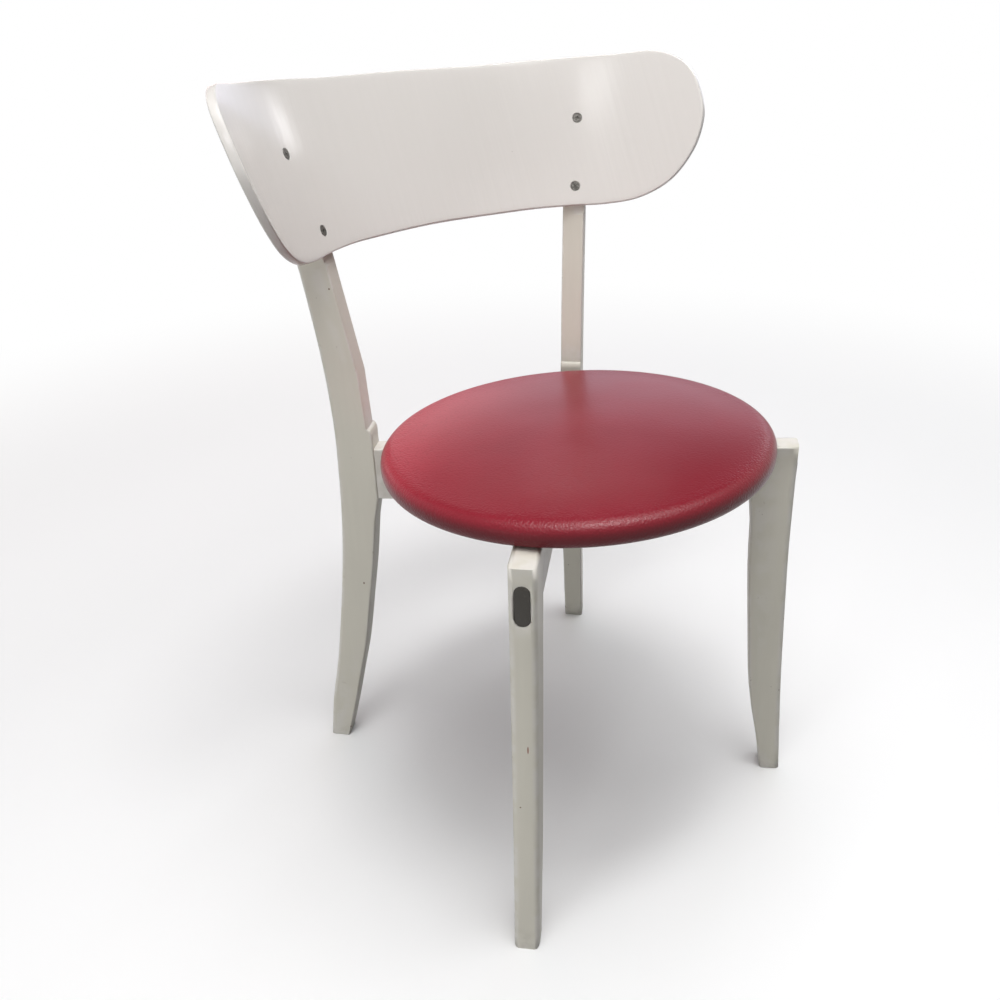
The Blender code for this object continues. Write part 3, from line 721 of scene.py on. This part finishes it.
outline_steps = 16
chain = inset_chain(smooth_chain(half_outline, outline_steps), rim_round)
cut_at = tip * outline_steps
upper_edge = by_share(chain[:cut_at - 1])
lower_edge = by_share(list(reversed(chain[cut_at + 1:])))
work = bmesh.new()
blank = work.verts.layers.float.new("arris")
grid = []
for row in range(panel_rows + 1):
    line = []
    for column in range(panel_columns + 1):
        u = 2 * column / panel_columns - 1
        share = (1 - end_crowding) * abs(u) + end_crowding * sin(abs(u) * pi / 2)
        place_2d = lower_edge(share).lerp(upper_edge(share), row / panel_rows)
        line.append(Vector((place_2d.x * (1 if u > 0 else -1), place_2d.y)))
    grid.append(line)
faces = {}
for depth in (0.0, panel_thickness):
    faces[depth] = [[work.verts.new((point.x, depth, point.y)) for point in line] for line in grid]
    for row in range(panel_rows):
        for column in range(panel_columns):
            corners = [faces[depth][row][column], faces[depth][row][column + 1],
                       faces[depth][row + 1][column + 1], faces[depth][row + 1][column]]
            work.faces.new(corners if depth == 0.0 else list(reversed(corners)))
last_column, last_row = panel_columns, panel_rows
border = [(0, k) for k in range(last_column)] + [(k, last_column) for k in range(last_row)]
border += [(last_row, last_column - k) for k in range(last_column)] + [(last_row - k, 0) for k in range(last_row)]
flat_border = [grid[row][column] for row, column in border]
outwards = []
for index in range(len(flat_border)):
    along = (flat_border[(index + 1) % len(flat_border)] - flat_border[index - 1]).normalized()
    outwards.append(Vector((along.y, -along.x)))
rim_profile = []             # how far out, how deep, and how much lighter it is painted: rubbed paint and a painted highlight
for step in range(1, rim_steps + 1):
    turn = pi / 2 * step / rim_steps
    rim_profile.append((rim_round * sin(turn), rim_round * (1 - cos(turn)), sin(2 * turn)))
rim_profile += [(out, panel_thickness - depth, rub_and_highlight) for out, depth, rub_and_highlight in reversed(rim_profile)]
ring = [faces[0.0][row][column] for row, column in border]
for out, depth, rub_and_highlight in rim_profile:
    wider = []
    for point, outward in zip(flat_border, outwards):
        spot = point + outward * out
        wider.append(work.verts.new((spot.x, depth, spot.y)))
        wider[-1][blank] = rub_and_highlight
    for index in range(len(ring)):
        after = (index + 1) % len(ring)
        work.faces.new((ring[after], ring[index], wider[index], wider[after]))
    ring = wider
rear_ring = [faces[panel_thickness][row][column] for row, column in border]
for index in range(len(ring)):
    after = (index + 1) % len(ring)
    work.faces.new((ring[after], ring[index], rear_ring[index], rear_ring[after]))
bmesh.ops.recalc_face_normals(work, faces=work.faces)
for face in work.faces:
    face.smooth = True
panel_mesh = bpy.data.meshes.new("painted_back_panel")
work.to_mesh(panel_mesh)
work.free()
back_panel = add_piece("painted_back_panel", panel_mesh)

work = bmesh.new()
for level in ("upper", "lower"):
    for side in (-1.0, 1.0):
        spot = Matrix.Translation((side * screw_along[level], 0.0, screw_height[level]))
        facing = spot @ Matrix.Rotation(pi / 2, 4, "X")
        bmesh.ops.create_cone(work, cap_ends=True, segments=40, radius1=0.0026, radius2=countersink_radius + 0.002,
                              depth=countersink_depth + 0.002 + 0.0008,
                              matrix=facing @ Matrix.Translation((0.0, 0.0, -(countersink_depth - 0.0012) / 2)))
sink_mesh = bpy.data.meshes.new("countersinks")
work.to_mesh(sink_mesh)
work.free()
countersinks = add_piece("countersinks", sink_mesh)
sunk = back_panel.modifiers.new("countersinks", "BOOLEAN")
sunk.operation = "DIFFERENCE"
sunk.solver = "EXACT"
sunk.object = countersinks
tree, given = tree_modifier(back_panel, "bend in the mould", bend_sizes)

panel_paint, shader, place = new_material("panel paint")
blank_place = place.node("ShaderNodeAttribute", out="Vector", attribute_name="blank")
arris = place.node("ShaderNodeAttribute", out="Fac", attribute_name="arris")
fibre = blank_place.noise(1.0, 3.0, (240.0, 240.0, 7.0))
figure = blank_place.noise(1.0, 2.0, (95.0, 95.0, 4.0))
cloud = blank_place.noise(5.0, 3.0)
tone = ((cloud - 0.5) * 1.1 + (figure - 0.5) * 0.5 + 0.5).step(0.0, 1.0)
shade = tone.blend(panel_shade_colour, panel_colour)
# The rim is painted lighter where it rounds over: partly rubbed paint, partly a painted highlight.
shade = (arris * place.noise(50.0, 2.0).step(0.35, 0.65) * 0.6).blend(shade, rubbed_and_highlight_colour)
worn = arris * place.noise(150.0, 3.0).step(0.67, 0.73) * place.noise(14.0).step(0.55, 0.64)
shade = (worn * 0.7).blend(shade, bare_wood_colour)
cells = {"Vector": place, "Scale": 26.0}
speck = place.node("ShaderNodeTexVoronoi", cells, out="Distance") < 0.016
chosen = place.node("ShaderNodeTexVoronoi", cells, out="Color")
chosen = chosen.node("ShaderNodeSeparateColor", {"Color": chosen}, out="Green") > 0.86
shade = (speck * chosen * 0.6).blend(shade, grime_colour)
grain = place.node("ShaderNodeBump", {"Strength": 0.13, "Distance": 0.0006, "Height": fibre})
grain = place.node("ShaderNodeBump", {"Strength": 0.10, "Distance": 0.0020, "Height": figure, "Normal": grain})
connect(shader, Base_Color=shade, Roughness=(cloud - 0.5) * 0.06 + (fibre - 0.5) * 0.14 + 0.20, Normal=grain)
close_tree(tree, bend_blank(tree, given, given["Geometry"]), panel_paint)
settle(back_panel)
bpy.data.objects.remove(countersinks, do_unlink=True)
back_panel.data.set_sharp_from_angle(angle=radians(40))
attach(back_panel, "root")
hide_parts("back_panel")


# ------------------------------------------------------------------ Panel screws
# Four countersunk screws hold the panel to the posts, two in each. Dark oxidised steel with a cross
# recess, bright only where a driver has rubbed it.
screw_head = 0.0106
screw_shank = 0.0045
screw_length = 0.024
head_depth = 0.0032
recess_depth = 0.0019
recess_reach = 0.0029
recess_blade = 0.0010
dark_steel_colour = (0.100, 0.094, 0.086, 1.0)
bright_steel_colour = (0.340, 0.325, 0.300, 1.0)

screw_mesh = bpy.data.meshes.new("screw blank")
profile = [(0.0, 0.0), (screw_head / 2 - 0.0002, 0.0), (screw_head / 2, 0.0002),
           (screw_shank / 2, head_depth), (screw_shank / 2, screw_length - 0.003), (0.0, screw_length)]
screw_mesh.from_pydata([(radius, 0.0, -depth) for radius, depth in profile],
                       [(k, k + 1) for k in range(len(profile) - 1)], [])
screw_blank = add_piece("screw_blank", screw_mesh)
turned = screw_blank.modifiers.new("turn", "SCREW")
turned.steps = 40
turned.render_steps = 40
turned.use_merge_vertices = True
turned.merge_threshold = same_place
work = bmesh.new()
for turn in (0.0, pi / 2):
    blade = bmesh.ops.create_cube(work, size=1.0)["verts"]
    for vertex in blade:
        deep = vertex.co.z < 0
        vertex.co.x *= 2 * recess_reach * (0.45 if deep else 1.0)
        vertex.co.y *= recess_blade * (0.7 if deep else 1.0)
        vertex.co.z = -recess_depth if deep else 0.0010
    bmesh.ops.rotate(work, verts=blade, cent=(0.0, 0.0, 0.0), matrix=Matrix.Rotation(turn, 3, "Z"))
recess_mesh = bpy.data.meshes.new("recess")
work.to_mesh(recess_mesh)
work.free()
recess = add_piece("recess", recess_mesh)
recess_cut = screw_blank.modifiers.new("recess", "BOOLEAN")
recess_cut.operation = "DIFFERENCE"
recess_cut.solver = "EXACT"
recess_cut.use_self = True
recess_cut.object = recess
settle(screw_blank)
work = bmesh.new()
work.from_mesh(screw_blank.data)
bmesh.ops.remove_doubles(work, verts=work.verts, dist=same_place / 4)
bmesh.ops.recalc_face_normals(work, faces=work.faces)
for face in work.faces:
    face.smooth = True
work.to_mesh(screw_blank.data)
work.free()
screw_blank.data.set_sharp_from_angle(angle=radians(35))
bpy.data.objects.remove(recess, do_unlink=True)

steel, shader, place = new_material("oxidised steel")
bloom = place.noise(500.0, 4.0).step(0.42, 0.74)
shader.inputs["Metallic"].default_value = 1.0
connect(shader, Base_Color=(bloom * 0.6).blend(dark_steel_colour, bright_steel_colour), Roughness=bloom * 0.2 + 0.36)

screw_places = bpy.data.meshes.new("panel_screws")
spots, spins = [], []
for level, spin in (("upper", 0.35), ("lower", 1.10)):
    for side in (-1.0, 1.0):
        spots.append((side * screw_along[level], 0.0, screw_height[level]))
        spins.append(spin * side)
screw_places.from_pydata(spots, [], [])
turns = screw_places.attributes.new("turn", "FLOAT", "POINT")
for index, spin in enumerate(spins):
    turns.data[index].value = spin
panel_screws = add_piece("panel_screws", screw_places)
tree, given = tree_modifier(panel_screws, "screws bent with the panel", bend_sizes)
turn = given["Geometry"].node("GeometryNodeInputNamedAttribute", {"Name": "turn"}, out="Attribute",
                              data_type="FLOAT")
turn = turn.node("ShaderNodeCombineXYZ", {"X": pi / 2, "Y": turn})
screw = turn.node("GeometryNodeObjectInfo", {"Object": screw_blank}, out="Geometry")
placed = turn.node("GeometryNodeInstanceOnPoints", {"Points": given["Geometry"], "Instance": screw,
                                                    "Rotation": turn})
real = placed.node("GeometryNodeRealizeInstances", {"Geometry": placed})
close_tree(tree, bend_blank(tree, given, real), steel)
settle(panel_screws)
bpy.data.objects.remove(screw_blank, do_unlink=True)
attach(panel_screws, "root")
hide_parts(*(f"panel_screw_{side}_{level}" for side in ("left", "right")
                            for level in ("upper", "lower")))


# ------------------------------------------------------------------ Floor, light and camera
# A plain pale floor that fades to white, an overhead softbox, and a low window under a grey screen behind
# the chair, which the vinyl mirrors. Two small lamps stand in the panel's semi-gloss paint.
floor_bounce = (0.12, 0.118, 0.114, 1.0)
floor_seen = (0.98, 0.985, 0.985, 1.0)
room_light = 0.17
floor_reach = 30.0


def backdrop_rays(tree):
    """1 for the rays that show the background: to the camera, off a mirror, or through glass."""
    start = Wire(tree)
    seen = start.node("ShaderNodeLightPath", out="Is Camera Ray")
    seen = seen.math("MAXIMUM", seen, start.node("ShaderNodeLightPath", out="Is Glossy Ray"))
    return seen.math("MAXIMUM", seen, start.node("ShaderNodeLightPath", out="Is Transmission Ray"))


work = bmesh.new()
bmesh.ops.create_grid(work, x_segments=1, y_segments=1, size=floor_reach)
floor_mesh = bpy.data.meshes.new("floor")
work.to_mesh(floor_mesh)
work.free()
floor = add_piece("floor", floor_mesh)
floor_paint, shader, place = new_material("floor")
seen = backdrop_rays(place.tree)
away = place.node("ShaderNodeVectorMath", {0: place}, out="Value", operation="LENGTH")
shader.inputs["Roughness"].default_value = 0.9
connect(shader, Base_Color=seen.blend(floor_bounce, floor_seen))
white = place.node("ShaderNodeEmission", {"Color": (1.0, 1.0, 1.0, 1.0), "Strength": 1.0})
lit = Wire(place.tree, shader.outputs[0])
lightened = place.node("ShaderNodeMixShader", {0: away.step(0.75, 2.0) * seen, 1: lit, 2: white})
place.tree.links.new(lightened.socket, place.tree.nodes["Material Output"].inputs["Surface"])
floor.data.materials.append(floor_paint)

screen_places = [(-0.9, 3.2), (1.2, 3.0), (2.7, 2.2), (3.4, 0.9)]
window_light = 1.70
screen_light = 0.16
window_top = 1.62
screen_mesh = bpy.data.meshes.new("screen")
corners = [(x, y, z) for x, y in screen_places for z in (0.0, 9.0)]
screen_mesh.from_pydata(corners, [], [(2 * k, 2 * k + 2, 2 * k + 3, 2 * k + 1) for k in range(3)])
screen = add_piece("screen_behind", screen_mesh)
screen.visible_camera = False
screen.visible_shadow = False
screen_cloth, shader, place = new_material("screen")
height = place.node("ShaderNodeSeparateXYZ", {"Vector": place}, out="Z")
sideways = place.node("ShaderNodeSeparateXYZ", {"Vector": place}, out="X")
bright = height.step(window_top + 0.25, window_top - 0.25) * height.step(0.50, 0.70)
tint = sideways.step(0.9, 2.3).blend((1.0, 0.80, 0.79, 1.0), (0.86, 0.88, 1.0, 1.0))
glow = place.node("ShaderNodeEmission", {"Color": tint,
                                         "Strength": bright * (window_light - screen_light) + screen_light})
place.tree.links.new(glow.socket, place.tree.nodes["Material Output"].inputs["Surface"])
screen.data.materials.append(screen_cloth)

bpy.context.scene.view_settings.view_transform = "Standard"
world = bpy.data.worlds.new("room")
bpy.context.scene.world = world
world.use_nodes = True
strength = backdrop_rays(world.node_tree) * (1 - room_light) + room_light
world.node_tree.links.new(strength.socket, world.node_tree.nodes["Background"].inputs["Strength"])
world.node_tree.nodes["Background"].inputs["Color"].default_value = (1.0, 1.0, 1.0, 1.0)


def area_lamp(name, place, aim, size, radiance):
    """A rectangular lamp at a place, turned towards its aim, with its brightness as radiance."""
    lamp = bpy.data.lights.new(name, "AREA")
    lamp.shape = "RECTANGLE"
    lamp.size, lamp.size_y = size
    lamp.energy = radiance * pi * size[0] * size[1]
    item = bpy.data.objects.new(name, lamp)
    bpy.context.scene.collection.objects.link(item)
    item.location = place
    item.rotation_euler = (Vector(aim) - Vector(place)).to_track_quat("-Z", "Y").to_euler()
    item.visible_camera = False
    return item


area_lamp("overhead softbox", (0.10, -0.40, 2.95), (0.0, -0.10, 0.45), (2.8, 2.3), 3.0)
area_lamp("low lamp left", (-3.20, -0.70, 0.65), (0.0, 0.0, 0.40), (1.4, 1.0), 8.0).visible_glossy = False
area_lamp("ceiling lamp above", (-0.10, -0.42, 2.85), (-0.05, -0.25, 0.46), (0.80, 0.34), 18.0)
area_lamp("ceiling lamp left", (-1.23, -0.93, 2.02), (0.21, 0.145, 0.765), (0.34, 0.13), 13.0)
area_lamp("ceiling lamp right", (1.75, 0.60, 1.19), (-0.175, 0.175, 0.757), (0.22, 0.13), 6.5)

azimuth, elevation, roll = radians(-38.531), radians(26.123), radians(-0.366)
backward = Vector((sin(azimuth) * cos(elevation), -cos(azimuth) * cos(elevation), sin(elevation)))
level = Vector((0.0, 0.0, 1.0)).cross(backward).normalized()
upright = backward.cross(level)
right = level * cos(roll) + upright * sin(roll)
up = upright * cos(roll) - level * sin(roll)
lens = bpy.data.cameras.new("camera")
lens.sensor_width = 36.0
lens.lens = 33.531
lens.shift_x = -0.0495
lens.shift_y = -0.0757
lens.clip_start = 0.01
camera = bpy.data.objects.new("camera", lens)
bpy.context.scene.collection.objects.link(camera)
stand = Matrix((right, up, backward)).transposed().to_4x4()
stand.translation = (-0.5603, -0.7181, 0.8949)
camera.matrix_world = stand
bpy.context.scene.camera = camera
